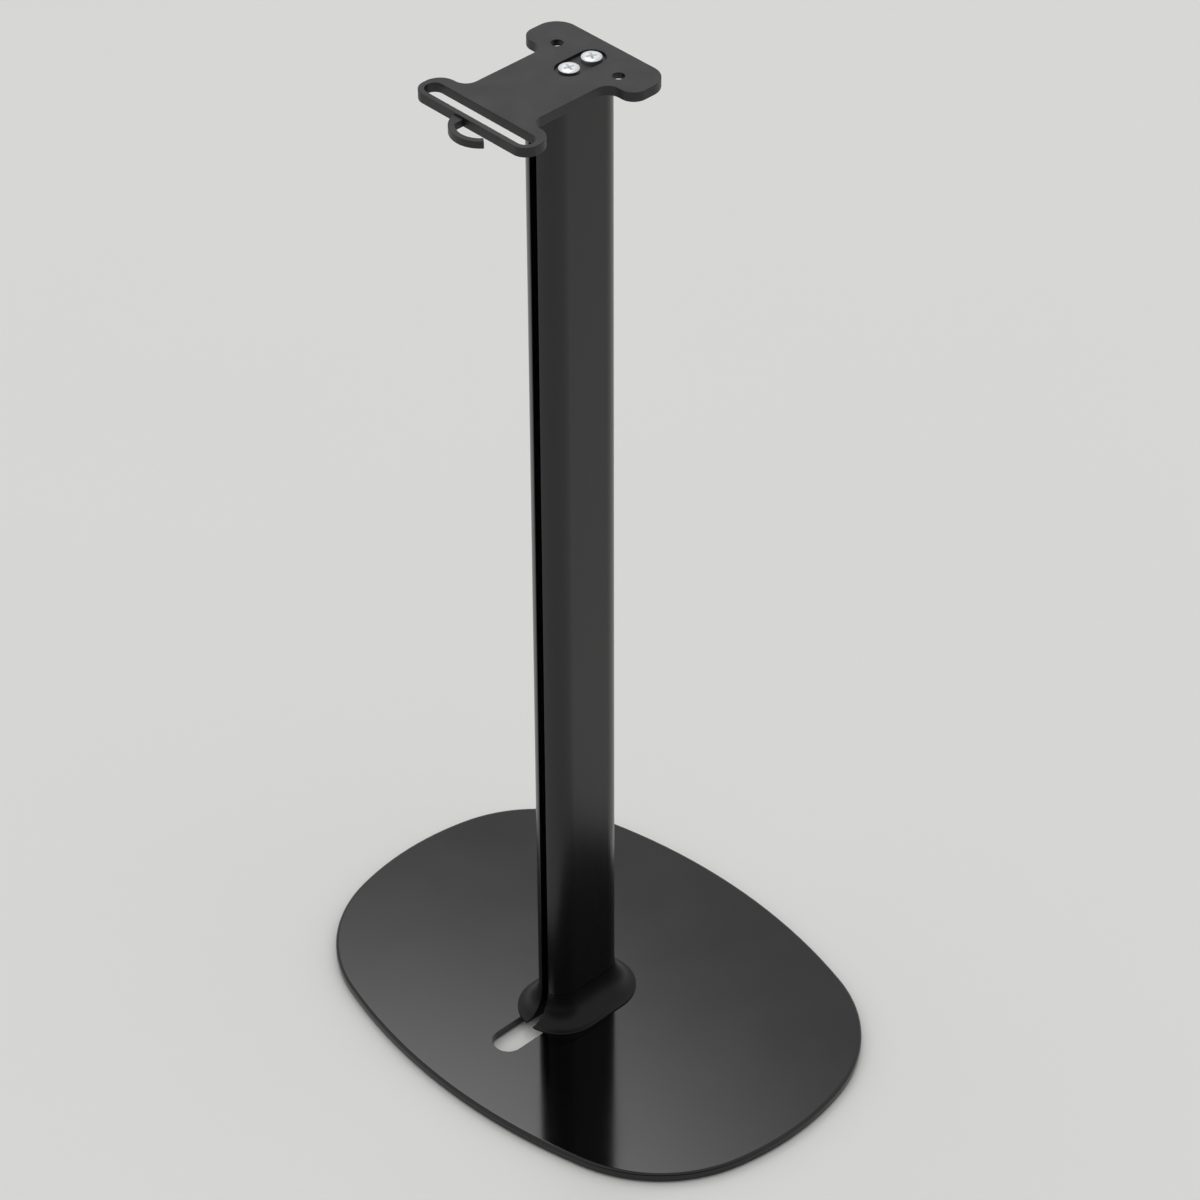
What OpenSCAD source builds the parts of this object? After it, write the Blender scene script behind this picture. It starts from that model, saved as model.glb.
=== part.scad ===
/* [Stand] */
// Height of the top plate's upper face above the floor
stand_h = 700; // [400:10:1100]
// Distance of the column's centre behind the base plate's centre
column_back = 16.5; // [0:0.5:30]

/* [Base plate] */
// Width of the base plate, side to side
base_w = 364; // [330:2:400]
// Depth of the base plate, front to rear
base_d = 263; // [240:1:290]
// Thickness of the base plate
base_t = 6; // [5:0.5:10]
// Radius of the long arcs at the front and rear
base_long_r = 390; // [340:5:450]
// Radius of the short arcs at the two sides
base_side_r = 187; // [175:1:220]
// Radius of the four corners
base_corner_r = 98; // [70:1:110]
// Width of the cable slot through the base plate
base_slot_w = 20.5; // [12:0.5:24]
// Distance of the slot's rear end behind the base plate's centre
base_slot_rear = 87; // [78:1:110]

/* [Foot pads] */
// Diameter of a foot pad
pad_d = 22; // [12:1:30]
// Thickness of a foot pad
pad_t = 1.5; // [1:0.5:5]
// Distance of a pad's centre from the base plate's side
pad_inset_x = 52; // [48:1:90]
// Distance of a pad's centre from the base plate's front or rear
pad_inset_y = 51.5; // [46:0.5:70]

/* [Column] */
// Width of the column's section, side to side
column_w = 28; // [26:0.5:36]
// Depth of the column's section, front to rear
column_d = 56.5; // [54:0.5:64]
// Wall thickness of the extrusion
column_wall = 2.2; // [1.5:0.1:2.6]
// Depth of the cable channel, from the column's rear face
channel_d = 19; // [12:0.5:20]
// Width of the channel's open mouth
channel_mouth = 5.5; // [4.5:0.5:9]
// Thickness of the rib that joins the screw ports
rib_t = 2; // [1:0.1:3]
// Outside diameter of a screw port
port_d = 10; // [9:0.5:11]
// Distance between the two screw ports
port_spacing = 17; // [15.5:0.5:18]

/* [Base collar] */
// Reach of the collar's foot beyond the column
collar_flare = 14; // [8:0.5:24]
// Height of the collar
collar_h = 21.5; // [12:0.5:40]
// Thickness of the collar's outer rim
collar_rim = 1.2; // [0.6:0.2:3]
// Thickness of the collar's upper lip
collar_lip = 0.8; // [0.5:0.1:1.5]
// Clearance between the collar and the column
collar_fit = 0.2; // [0.1:0.05:0.4]

/* [Top plate] */
// Width of the head and of the rear bar
plate_w = 90; // [84:1:110]
// Thickness of the top plate
plate_t = 6; // [5:0.5:8]
// Reach of the plate ahead of the column's centre
plate_front = 34; // [32:0.5:45]
// Reach of the plate behind the column's centre
plate_rear = 75; // [70:1:100]
// Depth of the head, front to rear
head_d = 29; // [27:0.5:31]
// Radius of the head's two front corners
head_front_r = 13.5; // [8:0.5:15]
// Radius of the head's two rear corners
head_rear_r = 9; // [4:0.5:11]
// Width of the neck
neck_w = 51; // [42:1:56]
// Radius of the inner corners beside the neck
neck_fillet = 8; // [3:0.5:8]
// Depth of the rear bar, front to rear
bar_d = 22; // [20:0.5:26]
// Radius of the rear bar's front corners
bar_front_r = 11; // [5:0.5:11]
// Radius of the rear bar's rear corners
bar_rear_r = 9; // [6:0.5:9]
// Width of the long slot in the rear bar
plate_slot_w = 11; // [6:0.5:11]
// Width of metal left round the slot
slot_margin = 3.5; // [3:0.5:6]

/* [Speaker holes] */
// Diameter of a speaker hole
speaker_hole_d = 7; // [5:0.5:8]
// Distance between the two speaker holes
speaker_hole_spacing = 48.5; // [42:0.5:54]
// Distance of the speaker holes behind the plate's front edge
speaker_hole_set = 20; // [14:0.5:21]
// Diameter of the counterbore below each speaker hole
speaker_bore_d = 13.5; // [12:0.5:14]
// Depth of that counterbore, from the plate's lower face
speaker_bore_h = 3.4; // [1:0.1:3.5]

/* [Cable hook] */
// Inner radius of the hook's arc
hook_inner_r = 14.1; // [13.5:0.1:15.5]
// Width of the hook's band
hook_w = 3.7; // [2:0.1:4]
// Height of the hook's band
hook_t = 4.5; // [3:0.1:4.5]
// Step down from the plate's upper face to the hook
hook_drop = 1.2; // [0.4:0.1:1.5]
// Sideways place of the arc's centre
hook_x = -7; // [-15:0.1:0]
// Reach of the hook's eye behind the plate
hook_reach = 10.5; // [9:0.1:12]
// Distance of the root's inner side from the arc's centre
hook_root_x = 9.9; // [8:0.1:11]
// Gap between the hook's tip and the plate
hook_mouth = 5; // [4.5:0.1:8]

/* [Screws] */
// Thread diameter of all four screws
screw_d = 6; // [5:0.5:6]
// Clearance of a screw's thread in its port
thread_fit = 0.1; // [0.05:0.05:0.2]
// Clearance round a screw where it passes a plate
hole_fit = 0.3; // [0.2:0.1:0.5]
// Length of a top screw below its head
top_screw_l = 16; // [10:1:30]
// Diameter of a top screw's head
pan_d = 12; // [10:0.5:13]
// Height of a top screw's head
pan_h = 2.6; // [2.4:0.1:4]
// Height of the straight side of that head
pan_side_h = 2; // [0.6:0.1:2.1]
// Span of the cross recess
recess_w = 6.4; // [4:0.1:7]
// Width of one wing of the cross recess
recess_wing = 1.3; // [0.8:0.1:2]
// Depth of the cross recess
recess_h = 2; // [1:0.1:3]
// Turn at which the front screw came to rest
front_screw_turn = -30; // [-45:1:45]
// Turn at which the rear screw came to rest
rear_screw_turn = -16; // [-45:1:45]
// Gap between a top screw's head and the pocket's wall
pocket_gap = 2.2; // [1:0.1:3]
// Depth of the pocket in the top plate
pocket_h = 1.5; // [0.5:0.1:2]
// Full length of a base screw
base_screw_l = 20; // [12:1:40]
// Diameter of a base screw's countersunk head
sunk_d = 11.6; // [9:0.1:12.5]
// Height of that head's cone
sunk_h = 3; // [2:0.1:3.6]
// Clearance between that cone and its countersink
sunk_fit = 0.1; // [0.05:0.05:0.3]
// Width across the flats of the base screw's socket
socket_w = 4; // [3:0.5:5]
// Depth of that socket
socket_h = 2.4; // [1:0.1:3]

/* [Hidden] */

// Every cut runs past its faces by this much
overrun = 1;
// How far each corner arc of the base stands proud of its neighbours, so that they cross
arc_cross = 0.005;
// Steps along the collar's hollow curve
flare_steps = 16;
// Sides of a hexagon socket
hexagon = 6;
$fn = 96;

GLOSS_BLACK = "#0d0d0f";
SATIN_BLACK = "#1b1b1e";
PLATE_BLACK = "#232326";
TRIM_BLACK = "#151517";
RUBBER_BLACK = "#101010";
ZINC = "#c9ccd0";
STEEL_BLACK = "#2a2a2c";

base_top = pad_t + base_t;
plate_bottom = stand_h - plate_t;
column_len = plate_bottom - base_top;
end_shift = (column_d - column_w) / 2;
web_rear = column_d / 2 - channel_d;
web_front = web_rear - column_wall;
thread_r = screw_d / 2;
port_r = thread_r + thread_fit;
pass_r = thread_r + hole_fit;
// The rear port is on the column's centre, the front port ahead of it
port_places = [-port_spacing, 0];

// One of the two points where circle (p, rp) meets circle (q, rq), on the right of p to q
function meet(p, rp, q, rq) =
    let (
        d = norm(q - p),
        e = (q - p) / d,
        x = (d * d + rp * rp - rq * rq) / (2 * d),
        h = sqrt(rp * rp - x * x)
    )
    p + x * e + h * [e[1], -e[0]];

// A rectangle from y0 to y1, centred on x, with separate corner radii at y0 and at y1
module round_bar(w, y0, y1, r0, r1) {
    half = w / 2;
    for (side = [-1, 1]) {
        translate([side * (half - r0), y0 + r0]) circle(r0);
        translate([side * (half - r1), y1 - r1]) circle(r1);
    }
    polygon([
        [-half + r0, y0], [half - r0, y0], [half, y0 + r0], [half, y1 - r1],
        [half - r1, y1], [-half + r1, y1], [-half, y1 - r1], [-half, y0 + r0]
    ]);
}

// A bar with round ends, along y between two points on the centre line
module obround(w, y0, y1) {
    translate([0, y0]) circle(w / 2);
    translate([0, y1]) circle(w / 2);
    translate([-w / 2, y0]) square([w, y1 - y0]);
}

// The metal that fills an inner corner at the origin, whose open side faces +x and +y
module inner_corner(r) {
    difference() {
        translate([-overrun, -overrun]) square(r + overrun);
        translate([r, r]) circle(r);
    }
}

// The base's outline: eight arcs that run smoothly into each other
module base_outline() {
    long_centre = [0, base_d / 2 - base_long_r];
    side_centre = [base_w / 2 - base_side_r, 0];
    corner_inset = base_corner_r - arc_cross;
    corner = meet(
        long_centre, base_long_r - corner_inset, side_centre, base_side_r - corner_inset
    );
    long_dir = (corner - long_centre) / norm(corner - long_centre);
    side_dir = (corner - side_centre) / norm(corner - side_centre);
    long_end = long_centre + base_long_r * long_dir;
    side_end = side_centre + base_side_r * side_dir;
    intersection() {
        square([2 * long_end[0], base_d], center = true);
        translate(long_centre) circle(base_long_r);
        translate(-long_centre) circle(base_long_r);
    }
    intersection() {
        square([base_w, 2 * side_end[1]], center = true);
        translate(side_centre) circle(base_side_r);
        translate(-side_centre) circle(base_side_r);
    }
    for (sx = [-1, 1], sy = [-1, 1])
        translate([sx * corner[0], sy * corner[1]]) circle(base_corner_r);
}

// Steel base plate with the cable slot and two countersunk holes from below
module base_plate() {
    slot_front = column_back + web_rear + base_slot_w / 2;
    color(GLOSS_BLACK)
    difference() {
        translate([0, 0, pad_t]) linear_extrude(base_t) base_outline();
        translate([0, 0, pad_t - overrun])
            linear_extrude(base_t + 2 * overrun)
            obround(base_slot_w, slot_front, base_slot_rear - base_slot_w / 2);
        for (y = port_places)
            translate([0, column_back + y, pad_t]) sunk_cut();
    }
}

// The hole for one base screw: a clearance hole with its countersink at the bottom
module sunk_cut() {
    cut_r = sunk_d / 2 + sunk_fit;
    translate([0, 0, -overrun]) cylinder(h = base_t + 2 * overrun, r = pass_r);
    translate([0, 0, -overrun]) cylinder(h = overrun, r = cut_r);
    cylinder(h = sunk_h + hole_fit, r1 = cut_r, r2 = pass_r);
}

// One rubber pad below the base plate
module foot_pad(side, end) {
    color(RUBBER_BLACK)
        translate([side * (base_w / 2 - pad_inset_x), end * (base_d / 2 - pad_inset_y), 0])
        cylinder(h = pad_t, d = pad_d);
}

// The column's section: a hollow front with two screw ports, and the open channel at the rear
module column_section() {
    inner_w = column_w - 2 * column_wall;
    difference() {
        union() {
            difference() {
                obround(column_w, -end_shift, end_shift);
                obround(inner_w, -end_shift, end_shift);
            }
            intersection() {
                obround(column_w - column_wall, -end_shift, end_shift);
                union() {
                    translate([-column_w / 2, web_front]) square([column_w, column_wall]);
                    translate([-rib_t / 2, -column_d / 2])
                        square([rib_t, column_d / 2 + web_front + column_wall / 2]);
                    for (y = port_places) translate([0, y]) circle(d = port_d);
                }
            }
        }
        for (y = port_places) translate([0, y]) circle(port_r);
        translate([-channel_mouth / 2, web_rear + column_wall])
            square([channel_mouth, channel_d]);
    }
}

// Aluminium column between the base plate and the top plate
module column() {
    color(SATIN_BLACK)
        translate([0, column_back, base_top])
        linear_extrude(column_len)
        column_section();
}

// The collar's section, measured from the column's side
module flare_section() {
    curve = [
        for (i = [0 : flare_steps])
            let (a = 90 * i / flare_steps)
            [
                collar_lip + (collar_flare - collar_lip) * (1 - cos(a)),
                collar_rim + (collar_h - collar_rim) * (1 - sin(a))
            ]
    ];
    polygon(concat([[collar_fit, collar_h]], curve, [[collar_flare, 0], [collar_fit, 0]]));
}

// Moulded collar that stands on the base plate round the column's foot, split at the rear
module base_collar() {
    color(TRIM_BLACK)
    translate([0, column_back, base_top])
    difference() {
        for (turn = [0, 180]) rotate([0, 0, turn]) {
            translate([0, end_shift, 0])
                rotate_extrude(angle = 180)
                translate([column_w / 2, 0]) flare_section();
            translate([column_w / 2, end_shift, 0])
                rotate([90, 0, 0])
                linear_extrude(2 * end_shift) flare_section();
        }
        translate([-channel_mouth / 2, end_shift, -overrun])
            cube([channel_mouth, column_w / 2 + collar_flare + overrun, collar_h + 2 * overrun]);
    }
}

// The plate's outline without the hook, measured from the column's centre
module plate_outline() {
    head_rear = head_d - plate_front;
    bar_front = plate_rear - bar_d;
    round_bar(plate_w, -plate_front, head_rear, head_front_r, head_rear_r);
    round_bar(plate_w, bar_front, plate_rear, bar_front_r, bar_rear_r);
    translate([-neck_w / 2, head_rear - overrun])
        square([neck_w, bar_front - head_rear + 2 * overrun]);
    for (side = [0, 1]) mirror([side, 0]) {
        translate([neck_w / 2, head_rear]) inner_corner(neck_fillet);
        translate([neck_w / 2, bar_front]) mirror([0, 1]) inner_corner(neck_fillet);
    }
}

// The long slot in the rear bar
module plate_slot() {
    half = plate_w / 2 - slot_margin - plate_slot_w / 2;
    slot_y = plate_rear - slot_margin - plate_slot_w / 2;
    translate([0, slot_y]) rotate(90) obround(plate_slot_w, -half, half);
}

// The hook's outline: a wide root that runs into a flat arc, cut square across the band at its tip
module hook_outline() {
    outer_r = hook_inner_r + hook_w;
    reach = outer_r + overrun;
    edge_y = hook_inner_r - hook_reach;
    tip = asin((edge_y + hook_mouth) / hook_inner_r);
    translate([hook_x, plate_rear - edge_y]) difference() {
        circle(outer_r);
        intersection() {
            circle(hook_inner_r);
            translate([-reach, -reach]) square([reach + hook_root_x, 2 * reach]);
        }
        translate([-reach, -reach]) square([2 * reach, reach + edge_y - slot_margin / 2]);
        polygon([
            [0, 0], 2 * reach * [-cos(tip), sin(tip)], [-2 * reach, -reach], [0, -reach]
        ]);
    }
}

// Steel top plate with its pocket, screw holes, speaker holes, long slot and cable hook
module top_plate() {
    hook_z = plate_t - hook_drop - hook_t;
    color(PLATE_BLACK)
    translate([0, column_back, plate_bottom])
    difference() {
        union() {
            linear_extrude(plate_t) plate_outline();
            translate([0, 0, hook_z]) linear_extrude(hook_t) hook_outline();
        }
        translate([0, 0, -overrun]) linear_extrude(plate_t + 2 * overrun) plate_slot();
        translate([0, 0, plate_t - pocket_h])
            linear_extrude(pocket_h + overrun)
            obround(pan_d + 2 * pocket_gap, port_places[0], port_places[1]);
        for (y = port_places)
            translate([0, y, -overrun]) cylinder(h = plate_t + overrun, r = pass_r);
        for (side = [-1, 1])
            translate([side * speaker_hole_spacing / 2, speaker_hole_set - plate_front, -overrun]) {
                cylinder(h = plate_t + 2 * overrun, d = speaker_hole_d);
                cylinder(h = speaker_bore_h + overrun, d = speaker_bore_d);
            }
    }
}

// One zinc pan-head screw with a cross recess, its head standing on the pocket's floor
module top_screw(y, turn) {
    dome_h = pan_h - pan_side_h;
    dome_r = (pow(pan_d / 2, 2) + pow(dome_h, 2)) / (2 * dome_h);
    color(ZINC)
    translate([0, column_back + y, stand_h - pocket_h])
    difference() {
        union() {
            translate([0, 0, -top_screw_l]) cylinder(h = top_screw_l, r = thread_r);
            rotate_extrude() intersection() {
                square([pan_d / 2, pan_h]);
                translate([0, pan_h - dome_r]) circle(dome_r);
            }
        }
        for (wing = [0, 90]) rotate([0, 0, turn + wing])
            translate([-recess_w / 2, -recess_wing / 2, pan_h - recess_h])
            cube([recess_w, recess_wing, recess_h + overrun]);
    }
}

// One countersunk screw from below the base plate, with a hexagon socket
module base_screw(y) {
    color(STEEL_BLACK)
    translate([0, column_back + y, pad_t])
    difference() {
        union() {
            cylinder(h = base_screw_l, r = thread_r);
            cylinder(h = sunk_h, r1 = sunk_d / 2, r2 = thread_r);
        }
        translate([0, 0, -overrun])
            cylinder(h = socket_h + overrun, d = socket_w / cos(180 / hexagon), $fn = hexagon);
    }
}

base_plate();
foot_pad(-1, -1);  // foot_pad_front_left
foot_pad(1, -1);  // foot_pad_front_right
foot_pad(-1, 1);  // foot_pad_rear_left
foot_pad(1, 1);  // foot_pad_rear_right
column();
base_collar();
base_screw(port_places[0]);  // base_screw_front
base_screw(port_places[1]);  // base_screw_rear
top_plate();
top_screw(port_places[0], front_screw_turn);  // top_screw_front
top_screw(port_places[1], rear_screw_turn);  // top_screw_rear
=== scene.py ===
"""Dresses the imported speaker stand: rounded edges, real screws and pads, finishes and stage."""
import math

import bmesh
import bpy
from mathutils import Matrix, Vector


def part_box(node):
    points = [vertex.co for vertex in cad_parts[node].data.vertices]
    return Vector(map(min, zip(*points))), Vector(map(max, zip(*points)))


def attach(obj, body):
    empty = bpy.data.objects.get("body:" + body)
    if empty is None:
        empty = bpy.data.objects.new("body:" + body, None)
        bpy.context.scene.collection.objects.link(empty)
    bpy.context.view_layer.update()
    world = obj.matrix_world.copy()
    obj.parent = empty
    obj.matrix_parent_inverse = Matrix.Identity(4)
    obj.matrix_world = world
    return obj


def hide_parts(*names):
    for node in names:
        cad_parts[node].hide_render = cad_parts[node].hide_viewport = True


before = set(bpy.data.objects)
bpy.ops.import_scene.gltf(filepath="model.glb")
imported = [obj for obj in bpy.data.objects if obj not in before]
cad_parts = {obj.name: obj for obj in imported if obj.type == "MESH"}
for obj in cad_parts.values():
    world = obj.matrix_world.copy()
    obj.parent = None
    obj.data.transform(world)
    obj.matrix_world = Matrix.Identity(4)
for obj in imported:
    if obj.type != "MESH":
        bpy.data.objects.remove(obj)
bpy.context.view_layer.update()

bl_info = {
    "name": "Speaker stand dresser",
    "version": (1, 0, 0),
    "blender": (4, 5, 0),
    "location": "3D View > Sidebar > Speaker stand",
    "description": "Builds the finished look of the speaker stand round its CAD model",
    "category": "Object",
}

MM = 0.001
FULL_TURN = 2 * math.pi
QUARTER = math.pi / 2
# The body that every piece rides on, as the stand has no joints
BODY = "root"
# Points nearer than this are one point
WELD_GAP = 0.001 * MM
# Points this near to a face or a cut lie on it
ON_FACE = 0.01 * MM
# Faces that turn by less than this are one flat face
FLAT_ANGLE = math.radians(0.3)
# Edges that turn by more than this are shaded sharp
HARD_ANGLE = math.radians(35)
# Points in a level ring of a screw or a pad: a whole number for each side of a cross and a hexagon
RING_STEPS = 48
# Noise keeps nearly always between these
NOISE_LOW, NOISE_HIGH = 0.3, 0.7
# The width of the camera's sensor
SENSOR_MM = 36
# Each light on the room's sky, in degrees: its elevation and its turn from +X towards +Y, and how
# far from its middle it begins to fade and ends
LIGHTS = {
    "softbox": (50.4, -37.9, 2.0, 9.6),
    "reflector": (26.5, -43.2, 8.0, 13.0),
    "dark_side": (-35.0, 136.3, 62.0, 78.0),
}


def linear(code):
    """An sRGB hex colour as the three linear values that a shader takes."""
    values = [int(code[i:i + 2], 16) / 255 for i in (1, 3, 5)]
    return [v / 12.92 if v <= 0.04045 else ((v + 0.055) / 1.055) ** 2.4 for v in values]


def middle(low, high):
    """The point half way between two corners."""
    return (low + high) / 2


# Sizes and colours that a user may change


def length(name, description, size_mm, least_mm, most_mm):
    """A length property, given in millimetres and kept in metres."""
    return bpy.props.FloatProperty(
        name=name, description=description, default=size_mm * MM, min=least_mm * MM,
        max=most_mm * MM, precision=5, unit="LENGTH", subtype="DISTANCE",
    )


def colour(name, description, code):
    """A colour property, given as sRGB hex and kept linear."""
    return bpy.props.FloatVectorProperty(
        name=name, description=description, default=linear(code), size=3, min=0.0, max=1.0,
        subtype="COLOR",
    )


def angle(name, description, degrees):
    """An angle property, given in degrees and kept in radians."""
    return bpy.props.FloatProperty(
        name=name, description=description, default=math.radians(degrees), unit="ROTATION",
        subtype="ANGLE",
    )


def level(name, description, default):
    """A light's strength."""
    return bpy.props.FloatProperty(
        name=name, description=description, default=default, min=0.0, max=20.0,
    )


class StandSizes(bpy.types.PropertyGroup):
    base_rim: length("Base rim", "Rounding of the base plate's outer upper edge", 2, 0.5, 2.5)
    base_edge: length("Base edge", "Rounding of the base slot's upper edge", 0.8, 0.2, 2)
    plate_edge: length("Top plate edge", "Rounding of the top plate's edges", 0.5, 0.1, 0.7)
    lip_edge: length("Channel lip", "Rounding of the column's channel lips", 0.5, 0.1, 0.9)
    collar_edge: length("Collar edge", "Rounding of the collar's top and slit", 0.3, 0.05, 0.5)
    collar_lip: length("Collar lip", "Distance of the flare's top from the column", 0.5, 0.3, 2)
    collar_rim: length("Collar rim", "Height of the collar's outer rim", 1.2, 0.8, 3)
    rim_edge: length("Rim edge", "Rounding of the collar's outer rim", 0.9, 0.1, 1)
    collar_slit: length("Collar slit", "Width of the collar's rear slit", 5.5, 3, 10)
    collar_fit: length("Collar fit", "Gap between the collar and the column", 0.05, 0.02, 0.5)
    pad_edge: length("Pad edge", "Rounding of a foot pad's rim", 0.4, 0.1, 0.7)
    shank_r: length("Screw radius", "Radius over the threads of the screws", 3, 2.5, 3)
    screw_edge: length("Screw edge", "Rounding of the edges of the screw heads", 0.15, 0.05, 0.3)
    thread_pitch: length("Thread pitch", "Pitch of the screw threads", 1.0, 0.5, 2)
    thread_depth: length("Thread depth", "Depth of the screw threads", 0.58, 0.2, 0.8)
    head_seat: length("Head seat", "Depth of the top screws' seat in the plate", 1.5, 0.5, 2)
    head_side: length("Head side", "Height of a top screw's straight side", 2, 1, 2.4)
    recess_span: length("Cross recess", "Span of the top screws' cross recess", 6.4, 3, 8)
    recess_wing: length("Recess wing", "Width of a wing of the cross recess", 1.3, 0.8, 2)
    wing_depth: length("Wing depth", "Depth of the wings of the cross recess", 0.7, 0.3, 1.2)
    recess_depth: length("Recess depth", "Depth of the middle of the cross recess", 2, 1.2, 2.4)
    recess_edge: length("Recess edge", "Broken edge round the cross recess", 0.12, 0.05, 0.2)
    socket: length("Hexagon socket", "Width across the flats of the base screws", 4, 3, 5)
    socket_depth: length("Socket depth", "Depth of the base screws' socket", 2.4, 1.5, 2.8)
    cone_height: length("Cone height", "Height of a base screw's countersunk cone", 3, 2, 4)


class StandColours(bpy.types.PropertyGroup):
    base: colour("Base plate", "Gloss powder coat of the base plate", "#020203")
    column: colour("Column", "Black anodised aluminium", "#070708")
    plate: colour("Top plate", "Satin powder coat of the top plate", "#151516")
    collar: colour("Collar", "Moulded black plastic", "#111112")
    zinc: colour("Top screws", "Bright zinc plate", "#dcdee0")
    oxide: colour("Base screws", "Black oxide on steel", "#2c2c2f")
    rubber: colour("Foot pads", "Black rubber", "#141414")
    floor: colour("Floor", "Pale studio floor", "#f0f0ee")


class StandStage(bpy.types.PropertyGroup):
    camera_place: bpy.props.FloatVectorProperty(
        name="Camera place", description="Where the camera stands", size=3,
        default=(-1.4308, 1.3650, 1.8865), unit="LENGTH", subtype="TRANSLATION",
    )
    camera_turn: angle("Camera azimuth", "Compass angle that the camera stands at", 226.236)
    camera_rise: angle("Camera elevation", "Angle at which the camera looks down", 38.333)
    camera_roll: angle("Camera roll", "Turn of the camera about its own axis", -0.206)
    camera_lens: bpy.props.FloatProperty(
        name="Camera lens", description="Focal length on a 36 mm sensor", default=125.865,
        min=10.0, max=400.0, unit="CAMERA",
    )
    sky: level("Room light", "Level of the even light from all round", 0.78)
    softbox: level("Softbox", "Level that the high softbox adds at its middle", 4.0)
    reflector: level("Reflector", "Level that the low reflector adds at its middle", 0.42)
    dark_side: level("Dark side", "Level that the room lacks low behind the camera", 0.62)


# Shapes


def sharp_edges(bm, least_degrees):
    """The convex edges between faces that turn by more than this."""
    least_turn = math.radians(least_degrees)
    return [
        e for e in bm.edges
        if e.is_manifold and e.is_convex and e.calc_face_angle() > least_turn
    ]


def node_surface(name):
    """A CAD node's surface as one welded mesh, with its flat faces joined."""
    bm = bmesh.new()
    bm.from_mesh(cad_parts[name].data)
    bmesh.ops.remove_doubles(bm, verts=bm.verts[:], dist=WELD_GAP)
    bmesh.ops.dissolve_limit(bm, angle_limit=FLAT_ANGLE, verts=bm.verts[:], edges=bm.edges[:])
    return bm


def soften(bm, edges, radius, segments):
    """Rounds these edges."""
    if not edges:
        raise RuntimeError("there is no edge to round")
    bmesh.ops.bevel(
        bm, geom=edges, offset=radius, offset_type="OFFSET", segments=segments, profile=0.5,
        affect="EDGES", clamp_overlap=True, loop_slide=True,
    )
    bm.normal_update()


def skin(rings):
    """A surface through rings of as many points each, with a flat face on each end."""
    bm = bmesh.new()
    rows = [[bm.verts.new(p) for p in ring] for ring in rings]
    for low, high in zip(rows, rows[1:]):
        for i in range(len(low)):
            j = (i + 1) % len(low)
            bm.faces.new((low[i], low[j], high[j], high[i]))
    bm.faces.new(rows[0][::-1])
    bm.faces.new(rows[-1])
    bmesh.ops.recalc_face_normals(bm, faces=bm.faces[:])
    return bm


def piece(name, bm, material, node):
    """Makes the finished piece, which rides on the stand and stands for its CAD node."""
    old = bpy.data.objects.get(name)
    if old:
        bpy.data.objects.remove(old)
    mesh = bpy.data.meshes.new(name)
    bm.to_mesh(mesh)
    bm.free()
    if not mesh.polygons:
        raise RuntimeError(f"{name} has no faces")
    for attribute in ("custom_normal", "sharp_face"):
        if attribute in mesh.attributes:
            mesh.attributes.remove(mesh.attributes[attribute])
    mesh.shade_smooth()
    mesh.set_sharp_from_angle(angle=HARD_ANGLE)
    mesh.materials.clear()
    mesh.materials.append(material)
    made = bpy.data.objects.new(name, mesh)
    bpy.context.scene.collection.objects.link(made)
    even = made.modifiers.new("Flat faces stay flat", "WEIGHTED_NORMAL")
    even.keep_sharp = True
    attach(made, BODY)
    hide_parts(node)


# Finishes


def add(tree, kind, inputs=None, **settings):
    """Adds a node with its own settings; each input is a value or the output that feeds it."""
    made = tree.nodes.new(kind)
    for name, value in settings.items():
        setattr(made, name, value)
    for name, value in (inputs or {}).items():
        if isinstance(value, bpy.types.NodeSocket):
            tree.links.new(value, made.inputs[name])
        else:
            made.inputs[name].default_value = value
    return made


def pattern(tree, place, size_mm, detail):
    """The height of clouds of this real size, or of pits where no detail is given."""
    inputs = {"Vector": place, "Scale": 1 / (size_mm * MM)}
    if detail is None:
        return add(tree, "ShaderNodeTexVoronoi", inputs, feature="SMOOTH_F1").outputs["Distance"]
    return add(tree, "ShaderNodeTexNoise", {**inputs, "Detail": detail}).outputs["Fac"]


def surface(name, tone, sockets, cloud_mm, detail, spread, rough, stretch=1.0):
    """A new material whose tone and roughness both follow clouds of one real size."""
    material = bpy.data.materials.get(name) or bpy.data.materials.new(name)
    material.use_nodes = True
    tree = material.node_tree
    tree.nodes.clear()
    shader = add(tree, "ShaderNodeBsdfPrincipled", sockets)
    add(tree, "ShaderNodeOutputMaterial", {"Surface": shader.outputs["BSDF"]})
    place = add(tree, "ShaderNodeTexCoord").outputs["Object"]
    drawn = place
    if stretch != 1.0:
        mapping = add(tree, "ShaderNodeMapping", {"Vector": place, "Scale": (1, 1, 1 / stretch)})
        drawn = mapping.outputs["Vector"]
    cloud = pattern(tree, drawn, cloud_mm, detail)
    dark = [v * (1 - spread) for v in tone] + [1]
    light = [v * (1 + spread) for v in tone] + [1]
    shade = add(tree, "ShaderNodeMix", {0: cloud, 6: dark, 7: light}, data_type="RGBA")
    tree.links.new(shade.outputs[2], shader.inputs["Base Color"])
    gloss = {
        "Value": cloud, "From Min": NOISE_LOW, "From Max": NOISE_HIGH, "To Min": rough[0],
        "To Max": rough[1],
    }
    ranged = add(tree, "ShaderNodeMapRange", gloss)
    tree.links.new(ranged.outputs["Result"], shader.inputs["Roughness"])
    return material, tree, shader, place, cloud


def raise_grain(tree, shader, height, depth_mm):
    """Feeds the shader a bump of a real depth."""
    inputs = {"Height": height, "Strength": 1.0, "Distance": depth_mm * MM}
    bump = add(tree, "ShaderNodeBump", inputs)
    tree.links.new(bump.outputs["Normal"], shader.inputs["Normal"])


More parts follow.
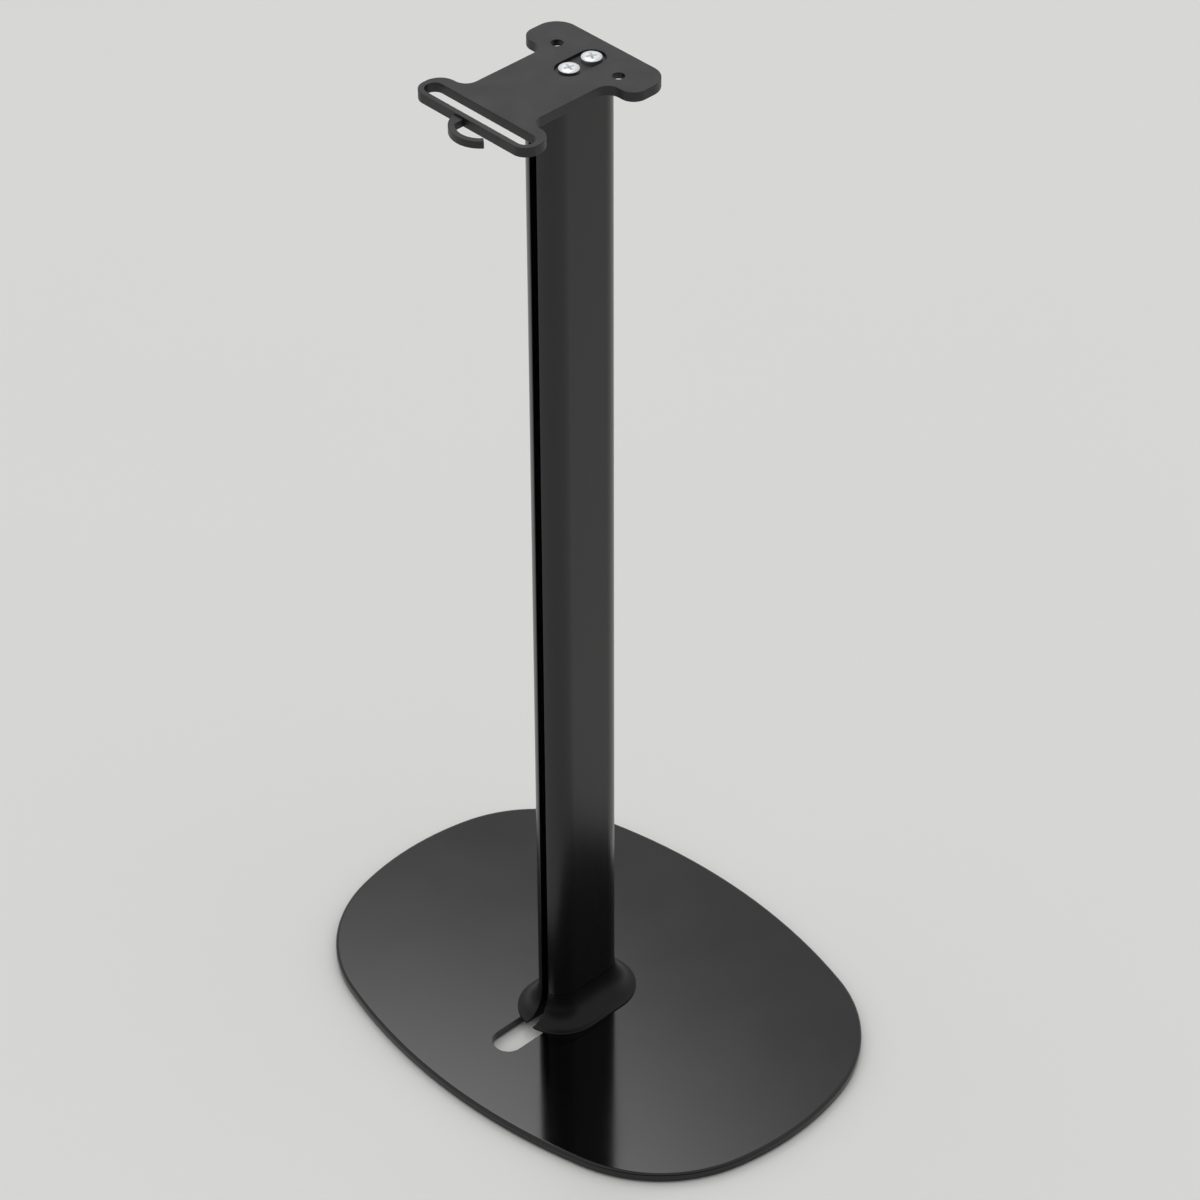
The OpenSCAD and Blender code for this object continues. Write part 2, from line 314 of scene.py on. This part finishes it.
def gloss_powder_coat(tone):
    """Black gloss powder coat on steel: a near mirror, faintly rippled where the coat flowed."""
    material, tree, shader, place, _ = surface(
        "gloss_powder_coat", tone, {"IOR": 1.5}, cloud_mm=45, detail=3.0, spread=0.25,
        rough=(0.08, 0.11),
    )
    # The real ripple of such a coat is about 4 mm wide
    raise_grain(tree, shader, pattern(tree, place, size_mm=4, detail=1.0), depth_mm=0.003)
    return material


def satin_powder_coat(tone):
    """Fine-grained satin powder coat on steel: an even dark grey sheen that hides the metal."""
    material, tree, shader, place, _ = surface(
        "satin_powder_coat", tone, {"IOR": 1.5}, cloud_mm=14, detail=4.0, spread=0.12,
        rough=(0.42, 0.5),
    )
    # The real grain is about 0.3 mm wide, too fine to show, and is drawn twice as wide
    raise_grain(tree, shader, pattern(tree, place, size_mm=0.6, detail=2.0), depth_mm=0.02)
    return material


def black_anodised_aluminium(tone):
    """Anodised extrusion: a deep black satin, its reflections drawn out along faint die lines."""
    # The real lines are about 0.2 mm apart, too fine to show, and are drawn 0.9 mm apart
    material, tree, shader, _, lines = surface(
        "black_anodised_aluminium", tone, {"IOR": 1.5}, cloud_mm=0.9, detail=4.0, spread=0.1,
        rough=(0.245, 0.275), stretch=250,
    )
    raise_grain(tree, shader, lines, depth_mm=0.00025)
    return material


def moulded_plastic(tone):
    """Spark-textured moulded ABS: a soft satin, as its fine pits swallow part of the sheen."""
    material, tree, shader, place, _ = surface(
        "moulded_abs", tone, {"IOR": 1.53, "Specular IOR Level": 0.19}, cloud_mm=8, detail=3.0,
        spread=0.1, rough=(0.28, 0.34),
    )
    # The real pits are about 0.1 mm wide, too fine to show, and are drawn 0.5 mm wide
    raise_grain(tree, shader, pattern(tree, place, size_mm=0.5, detail=None), depth_mm=0.01)
    return material


def bright_zinc(tone):
    """Bright zinc plate on steel: near white metal, clouded by the plating bath."""
    material, tree, shader, place, _ = surface(
        "bright_zinc_plate", tone, {"Metallic": 1.0}, cloud_mm=2.2, detail=4.0, spread=0.05,
        rough=(0.24, 0.36),
    )
    # The real crystals are under 0.05 mm wide, too fine to show, and are drawn 0.25 mm wide
    raise_grain(tree, shader, pattern(tree, place, size_mm=0.25, detail=2.0), depth_mm=0.003)
    return material


def black_oxide(tone):
    """Black oxide on steel: dark oiled metal with a dull shine."""
    material, tree, shader, place, _ = surface(
        "black_oxide_steel", tone, {"Metallic": 1.0}, cloud_mm=1.6, detail=4.0, spread=0.2,
        rough=(0.38, 0.55),
    )
    # The real grain is under 0.05 mm wide, too fine to show, and is drawn 0.2 mm wide
    raise_grain(tree, shader, pattern(tree, place, size_mm=0.2, detail=2.0), depth_mm=0.003)
    return material


def black_rubber(tone):
    """Moulded rubber: matte, with a fine pitted skin."""
    material, tree, shader, place, _ = surface(
        "black_rubber", tone, {"IOR": 1.52}, cloud_mm=3, detail=3.0, spread=0.2,
        rough=(0.72, 0.9),
    )
    # The real pits are about 0.1 mm wide, too fine to show, and are drawn 0.4 mm wide
    raise_grain(tree, shader, pattern(tree, place, size_mm=0.4, detail=None), depth_mm=0.03)
    return material


def pale_floor(tone):
    """Painted studio floor: even, pale and matte."""
    return surface(
        "pale_studio_floor", tone, {"IOR": 1.45}, cloud_mm=400, detail=2.0, spread=0.01,
        rough=(0.8, 0.9),
    )[0]


# Pieces cut from the CAD nodes


class STAND_OT_base_plate(bpy.types.Operator):
    """Make the base plate with rounded edges in gloss powder coat"""
    bl_idname = "stand.base_plate"
    bl_label = "Base plate"

    def execute(self, context):
        sizes, colours = context.scene.stand_sizes, context.scene.stand_colours
        least_turn, rim_segments, edge_segments, under_segments = 60, 6, 4, 2
        bm = node_surface("base_plate")
        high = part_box("base_plate")[1]
        # The slot keeps within this distance of the middle, and the outer edge beyond it
        slot_reach = high.y * 0.8
        roundings = ((sizes.base_rim, rim_segments, True), (sizes.base_edge, edge_segments, False))
        for radius, segments, is_outer in roundings:
            upper = [
                e for e in sharp_edges(bm, least_turn)
                if all(v.co.z > high.z - ON_FACE for v in e.verts)
                and (e.verts[0].co.xy.length > slot_reach) == is_outer
            ]
            soften(bm, upper, radius, segments)
        lower = [
            e for e in sharp_edges(bm, least_turn)
            if all(v.co.z < high.z - sizes.base_rim for v in e.verts)
        ]
        soften(bm, lower, sizes.base_edge / 2, under_segments)
        coat = gloss_powder_coat(colours.base)
        piece("coated_base_plate", bm, coat, "base_plate")
        return {"FINISHED"}


class STAND_OT_top_plate(bpy.types.Operator):
    """Make the top plate and its hook with softened edges in satin powder coat"""
    bl_idname = "stand.top_plate"
    bl_label = "Top plate"

    def execute(self, context):
        sizes, colours = context.scene.stand_sizes, context.scene.stand_colours
        least_turn, segments = 60, 3
        bm = node_surface("top_plate")
        soften(bm, sharp_edges(bm, least_turn), sizes.plate_edge, segments)
        coat = satin_powder_coat(colours.plate)
        piece("coated_top_plate", bm, coat, "top_plate")
        return {"FINISHED"}


class STAND_OT_column(bpy.types.Operator):
    """Make the extruded column with rounded channel lips in black anodised aluminium"""
    bl_idname = "stand.column"
    bl_label = "Column"

    def execute(self, context):
        sizes, colours = context.scene.stand_sizes, context.scene.stand_colours
        least_turn, segments = 50, 4
        # The channel's lips lie within this of its middle and of the column's rear
        mouth_reach, lip_reach = 3.5 * MM, 4 * MM
        bm = node_surface("column")
        low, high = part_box("column")
        lips = [
            e for e in sharp_edges(bm, least_turn)
            if e.calc_length() > (high.z - low.z) / 2
            and abs(e.verts[0].co.x) < mouth_reach and e.verts[0].co.y > high.y - lip_reach
        ]
        soften(bm, lips, sizes.lip_edge, segments)
        black = black_anodised_aluminium(colours.column)
        piece("anodised_column", bm, black, "column")
        return {"FINISHED"}


# Pieces built from their sections


class STAND_OT_base_collar(bpy.types.Operator):
    """Make the flared collar round the column's foot in moulded plastic"""
    bl_idname = "stand.base_collar"
    bl_label = "Base collar"

    def section(self, sizes, reach, height):
        """The collar's section, round its whole edge: distance from the column, and height."""
        flare_steps, rim_steps = 28, 6
        edge, lip, rim, fit = (
            sizes.collar_edge, sizes.collar_lip, sizes.collar_rim, sizes.collar_fit
        )
        # The rounding leaves a fifth of the rim's height straight
        rim_edge = min(sizes.rim_edge, rim * 0.8)
        # The flare ends a little before the rounding begins, so that no two points meet
        flare_end = reach - rim_edge * 1.1
        points = [(fit, 0), (fit, height - edge / 2), (fit + edge / 4, height)]
        for i in range(flare_steps + 1):
            turn = QUARTER * i / flare_steps
            out = lip + (reach - lip) * (1 - math.cos(turn))
            if out < flare_end:
                points.append((out, rim + (height - rim) * (1 - math.sin(turn))))
        for i in range(rim_steps + 1):
            turn = QUARTER * (1 - i / rim_steps)
            points.append((
                reach - rim_edge + rim_edge * math.cos(turn),
                rim - rim_edge + rim_edge * math.sin(turn),
            ))
        return points + [(reach, edge / 3), (reach - edge / 3, 0)]

    def execute(self, context):
        sizes, colours = context.scene.stand_sizes, context.scene.stand_colours
        arc_steps, side_steps, least_turn, segments = 24, 8, 40, 2
        low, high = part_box("base_collar")
        column_low, column_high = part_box("column")
        half = (column_high.x - column_low.x) / 2
        centre = (column_high.y + column_low.y) / 2
        # From the column's centre to the centre of each round end
        shift = (column_high.y - column_low.y) / 2 - half
        section = self.section(sizes, high.x - half, high.z - low.z)
        slit = sizes.collar_slit / 2

        def round_end(sign, turns):
            """A ring of points on a round end; turns gives the angle at each radius."""
            return [
                (
                    (half + out) * math.sin(turns(half + out)),
                    centre + sign * shift + (half + out) * math.cos(turns(half + out)),
                    low.z + up,
                )
                for out, up in section
            ]

        def side(sign, i):
            """A ring of points at one place on a straight side."""
            y = centre + shift * (1 - 2 * i / side_steps)
            return [(sign * (half + out), y, low.z + up) for out, up in section]

        def from_slit(share):
            """The angle at a share of the way from the slit's cut to the straight side."""
            def turn(radius):
                start = math.asin(slit / radius)
                return start + (QUARTER - start) * share
            return turn

        rear = [round_end(1, from_slit(i / arc_steps)) for i in range(arc_steps + 1)]
        rings = rear + [side(1, i) for i in range(1, side_steps)]
        for i in range(2 * arc_steps + 1):
            rings.append(round_end(-1, lambda radius: QUARTER + QUARTER * i / arc_steps))
        rings += [side(-1, i) for i in range(side_steps - 1, 0, -1)]
        rings += [[(-x, y, z) for x, y, z in ring] for ring in rear[::-1]]
        bm = skin(rings)
        cuts = [
            e for e in sharp_edges(bm, least_turn)
            if all(abs(abs(v.co.x) - slit) < ON_FACE for v in e.verts)
        ]
        soften(bm, cuts, sizes.collar_edge / 2, segments)
        plastic = moulded_plastic(colours.collar)
        piece("moulded_collar", bm, plastic, "base_collar")
        return {"FINISHED"}


def circle(radius, z):
    """A level ring of points round a screw's or a pad's axis."""
    turns = [FULL_TURN * i / RING_STEPS for i in range(RING_STEPS)]
    return [(radius * math.cos(t), radius * math.sin(t), z) for t in turns]


def cross(half_span, half_wing):
    """The flat outline of a cross, with as many points as a ring."""
    side = [half_span + (half_wing - half_span) * share for share in (0.25, 0.5, 0.75)]
    arm = [(half_span, 0), (half_span, half_wing / 2), (half_span, half_wing)]
    arm += [(s, half_wing) for s in side] + [(half_wing, half_wing)]
    arm += [(half_wing, s) for s in side[::-1]]
    arm += [(half_wing, half_span), (half_wing / 2, half_span)]
    points = []
    for _ in range(4):
        points += arm
        arm = [(-y, x) for x, y in arm]
    return points


def hexagon(flats):
    """The flat outline of a hexagon, with as many points as a ring."""
    sides = 6
    per_side = RING_STEPS // sides
    corner = flats / 2 / math.cos(math.pi / sides)
    turns = [FULL_TURN * k / sides for k in range(sides)]
    corners = [Vector((corner * math.cos(t), corner * math.sin(t))) for t in turns]
    points = []
    for start, end in zip(corners, corners[1:] + corners[:1]):
        points += [tuple(start.lerp(end, i / per_side)) for i in range(per_side)]
    return points


def thread(radius, start, end, sizes):
    """Rings along a screw's threaded shank, from below its head to its chamfered end."""
    pitch, depth = sizes.thread_pitch, sizes.thread_depth
    rings_per_pitch = 8
    # In pitches: half of the flat crest, the run-out below the head and the chamfer at the end
    crest_half, run_out, chamfer = 0.1, 1.5, 1.2
    count = round(abs(end - start) / pitch * rings_per_pitch)
    way = 1 if end > start else -1
    rings = []
    for j in range(count + 1):
        z = start + way * j * pitch / rings_per_pitch
        from_head, from_tip = j / rings_per_pitch, (count - j) / rings_per_pitch
        ring = []
        for i in range(RING_STEPS):
            share = i / RING_STEPS
            phase = (z / pitch - share) % 1
            height = (0.5 - abs(phase - 0.5)) / (0.5 - crest_half)
            groove = (1 - min(1, max(0, height))) * min(1, from_head / run_out)
            r = min(radius - depth * groove, radius - depth * max(0, 1 - from_tip / chamfer))
            ring.append((r * math.cos(FULL_TURN * share), r * math.sin(FULL_TURN * share), z))
        rings.append(ring)
    return rings


def placed(bm, x, y, z, turn=0.0):
    """Turns a piece about its own axis and puts it in its place."""
    bm.transform(Matrix.Translation((x, y, z)) @ Matrix.Rotation(turn, 4, "Z"))
    return bm


class STAND_OT_top_screws(bpy.types.Operator):
    """Make the two pan-head screws with cross recesses and threads in bright zinc"""
    bl_idname = "stand.top_screws"
    bl_label = "Top screws"

    def head(self, sizes, head_r, top):
        """Rings from the bottom of the recess over the dome and down the side, from the seat up."""
        edge, side_h = sizes.screw_edge, sizes.head_side
        half_span, half_wing = sizes.recess_span / 2, sizes.recess_wing / 2
        # Shares of the mouth's sizes at the wings' foot, and of those at the recess's very bottom
        foot_span, foot_wing, bottom = 0.5, 0.35, 0.2
        # Shares of the head's radius at which the dome has a ring
        dome_shares = (0.72, 0.82, 0.9, 0.95)

        def dome(x, y):
            """The height of the flattened dome."""
            return top - (top - side_h) * ((x * x + y * y) / head_r ** 2) ** 2

        foot = cross(half_span * foot_span, half_wing * foot_wing)
        mouth = cross(half_span, half_wing)
        rim = cross(half_span + sizes.recess_edge, half_wing + sizes.recess_edge)
        first = circle(head_r * dome_shares[0], 0)
        blend = [((c[0] + r[0]) / 2, (c[1] + r[1]) / 2) for c, r in zip(rim, first)]
        rings = [
            [(x * bottom, y * bottom, top - sizes.recess_depth) for x, y in foot],
            [(x, y, top - sizes.wing_depth) for x, y in foot],
            [(x, y, dome(x, y) - sizes.recess_edge) for x, y in mouth],
            [(x, y, dome(x, y)) for x, y in rim],
            [(x, y, dome(x, y)) for x, y in blend],
        ]
        for share in dome_shares:
            rings.append([(x, y, dome(x, y)) for x, y, _ in circle(head_r * share, 0)])
        return rings + [
            circle(head_r - edge, dome(head_r - edge, 0)),
            circle(head_r - edge / 4, side_h - edge / 2), circle(head_r, side_h - edge),
            circle(head_r, edge), circle(head_r - edge / 3, edge / 3), circle(head_r - edge, 0),
        ]

    def execute(self, context):
        sizes, colours = context.scene.stand_sizes, context.scene.stand_colours
        neck = 0.2 * MM
        # How far each cross recess is turned, in degrees
        turns = {"front": -30, "rear": -16}
        zinc = bright_zinc(colours.zinc)
        for end, turn in turns.items():
            node = f"top_screw_{end}"
            low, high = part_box(node)
            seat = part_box("top_plate")[1].z - sizes.head_seat
            rings = self.head(sizes, (high.x - low.x) / 2, high.z - seat)
            rings.append(circle(sizes.shank_r + neck, 0))
            rings += thread(sizes.shank_r, -neck, low.z - seat, sizes)
            bm = placed(skin(rings), 0, middle(low, high).y, seat, math.radians(turn))
            piece(f"zinc_screw_{end}", bm, zinc, node)
        return {"FINISHED"}


class STAND_OT_base_screws(bpy.types.Operator):
    """Make the two countersunk screws below the base with hexagon sockets and threads"""
    bl_idname = "stand.base_screws"
    bl_label = "Base screws"

    def execute(self, context):
        sizes, colours = context.scene.stand_sizes, context.scene.stand_colours
        edge, shank_r, neck = sizes.screw_edge, sizes.shank_r, 0.1 * MM
        # The drill's point at the socket's bottom, and the chamfer at its mouth
        point_r, point_h, mouth_h = 0.3 * MM, 0.5 * MM, 0.25 * MM
        # Radii in shares of the width across the flats
        bottom_share, mouth_share = 0.42, 0.6
        depth, outline = sizes.socket_depth, hexagon(sizes.socket)
        oxide = black_oxide(colours.oxide)
        for end in ("front", "rear"):
            node = f"base_screw_{end}"
            low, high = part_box(node)
            head_r = (high.x - low.x) / 2
            rings = [
                circle(point_r, depth + point_h), circle(sizes.socket * bottom_share, depth),
                [(x, y, depth) for x, y in outline], [(x, y, mouth_h) for x, y in outline],
                circle(sizes.socket * mouth_share, 0), circle(head_r - edge * 2, 0),
                circle(head_r - edge / 2, edge / 3), circle(head_r - edge / 3, edge),
                circle(shank_r + neck, sizes.cone_height),
            ]
            rings += thread(shank_r, sizes.cone_height + neck, high.z - low.z, sizes)
            bm = placed(skin(rings), 0, middle(low, high).y, low.z)
            piece(f"oxide_screw_{end}", bm, oxide, node)
        return {"FINISHED"}


class STAND_OT_foot_pads(bpy.types.Operator):
    """Make the four rubber foot pads with rounded rims"""
    bl_idname = "stand.foot_pads"
    bl_label = "Foot pads"

    def execute(self, context):
        sizes, colours = context.scene.stand_sizes, context.scene.stand_colours
        edge, rim_steps, glued_edge = sizes.pad_edge, 4, 0.1 * MM
        # How many roundings the flat face's outer ring stands in from the pad's side
        flat_gap = 1.6
        rubber = black_rubber(colours.rubber)
        for place in ("front_left", "front_right", "rear_left", "rear_right"):
            node = f"foot_pad_{place}"
            low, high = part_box(node)
            centre, radius, thick = middle(low, high), (high.x - low.x) / 2, high.z - low.z
            rings = [circle(radius / 2, 0), circle(radius - edge * flat_gap, 0)]
            for i in range(rim_steps + 1):
                turn = QUARTER * i / rim_steps
                out, up = radius - edge * (1 - math.sin(turn)), edge * (1 - math.cos(turn))
                rings.append(circle(out, up))
            rings += [circle(radius, thick - glued_edge), circle(radius - glued_edge, thick)]
            bm = placed(skin(rings), centre.x, centre.y, low.z)
            piece(f"rubber_pad_{place}", bm, rubber, node)
        return {"FINISHED"}


# Floor, light and camera


class STAND_OT_stage(bpy.types.Operator):
    """Make the floor, the light and the camera"""
    bl_idname = "stand.stage"
    bl_label = "Stage"

    def floor(self, context):
        """A wide level floor."""
        reach = 30.0
        mesh = bpy.data.meshes.new("studio_floor")
        corners = [(-reach, -reach, 0), (reach, -reach, 0), (reach, reach, 0), (-reach, reach, 0)]
        mesh.from_pydata(corners, [], [(0, 1, 2, 3)])
        mesh.materials.append(pale_floor(context.scene.stand_colours.floor))
        made = bpy.data.objects.new("studio_floor", mesh)
        context.scene.collection.objects.link(made)

    def light(self, context):
        """An even room with a high softbox, a reflector and a dark side, all with soft edges."""
        stage = context.scene.stand_stage
        world = bpy.data.worlds.new("studio")
        context.scene.world = world
        world.use_nodes = True
        tree = world.node_tree
        tree.nodes.clear()
        way = add(tree, "ShaderNodeTexCoord").outputs["Generated"]
        # The dark side takes away no more than the room's own light
        strengths = {
            "softbox": stage.softbox, "reflector": stage.reflector,
            "dark_side": -min(stage.dark_side, stage.sky),
        }
        total = stage.sky
        for name, strength in strengths.items():
            rise, turn, full, reach = [math.radians(v) for v in LIGHTS[name]]
            towards = (
                math.cos(rise) * math.cos(turn), math.cos(rise) * math.sin(turn), math.sin(rise)
            )
            both = {0: way, 1: towards}
            facing = add(tree, "ShaderNodeVectorMath", both, operation="DOT_PRODUCT")
            off = add(tree, "ShaderNodeMath", {0: facing.outputs["Value"]}, operation="ARCCOSINE")
            fade = {
                "Value": off.outputs["Value"], "From Min": full, "From Max": reach,
                "To Min": strength, "To Max": 0.0,
            }
            glow = add(tree, "ShaderNodeMapRange", fade, interpolation_type="SMOOTHSTEP")
            terms = {0: glow.outputs["Result"], 1: total}
            total = add(tree, "ShaderNodeMath", terms, operation="ADD").outputs["Value"]
        sky = add(tree, "ShaderNodeBackground", {"Color": (1, 1, 1, 1), "Strength": total})
        add(tree, "ShaderNodeOutputWorld", {"Surface": sky.outputs["Background"]})

    def camera(self, context):
        """The camera at the photograph's place, with a lens that suits a square picture of 1200
        pixels.
        """
        stage = context.scene.stand_stage
        turn, rise = stage.camera_turn, stage.camera_rise
        back = Vector((
            math.sin(turn) * math.cos(rise), -math.cos(turn) * math.cos(rise), math.sin(rise)
        ))
        right = Vector((math.cos(turn), math.sin(turn), 0))
        axes = Matrix((right, back.cross(right), back)).transposed()
        made = bpy.data.objects.new("camera", bpy.data.cameras.new("camera"))
        made.matrix_world = (
            Matrix.Translation(stage.camera_place) @ axes.to_4x4()
            @ Matrix.Rotation(stage.camera_roll, 4, "Z")
        )
        made.data.lens, made.data.sensor_width = stage.camera_lens, SENSOR_MM
        context.scene.collection.objects.link(made)
        context.scene.camera = made

    def execute(self, context):
        self.floor(context)
        self.light(context)
        self.camera(context)
        context.scene.view_settings.view_transform = "Standard"
        return {"FINISHED"}


# The add-on


STEPS = (
    STAND_OT_stage, STAND_OT_base_plate, STAND_OT_foot_pads, STAND_OT_column,
    STAND_OT_base_collar, STAND_OT_base_screws, STAND_OT_top_plate, STAND_OT_top_screws,
)


class STAND_PT_sidebar(bpy.types.Panel):
    bl_idname = "STAND_PT_sidebar"
    bl_label = "Speaker stand"
    bl_space_type = "VIEW_3D"
    bl_region_type = "UI"
    bl_category = "Speaker stand"

    def draw(self, context):
        scene = context.scene
        for step in STEPS:
            self.layout.operator(step.bl_idname)
        for group in (scene.stand_sizes, scene.stand_colours, scene.stand_stage):
            box = self.layout.box()
            for name in group.__annotations__:
                box.prop(group, name)


CLASSES = (StandSizes, StandColours, StandStage) + STEPS + (STAND_PT_sidebar,)


def register():
    for made in CLASSES:
        bpy.utils.register_class(made)
    bpy.types.Scene.stand_sizes = bpy.props.PointerProperty(type=StandSizes)
    bpy.types.Scene.stand_colours = bpy.props.PointerProperty(type=StandColours)
    bpy.types.Scene.stand_stage = bpy.props.PointerProperty(type=StandStage)


def unregister():
    del bpy.types.Scene.stand_stage, bpy.types.Scene.stand_colours, bpy.types.Scene.stand_sizes
    for made in reversed(CLASSES):
        bpy.utils.unregister_class(made)


def main():
    register()
    bpy.ops.stand.stage()
    bpy.ops.stand.base_plate()
    bpy.ops.stand.foot_pads()
    bpy.ops.stand.column()
    bpy.ops.stand.base_collar()
    bpy.ops.stand.base_screws()
    bpy.ops.stand.top_plate()
    bpy.ops.stand.top_screws()
    bpy.context.view_layer.update()


if __name__ == "__main__":
    main()
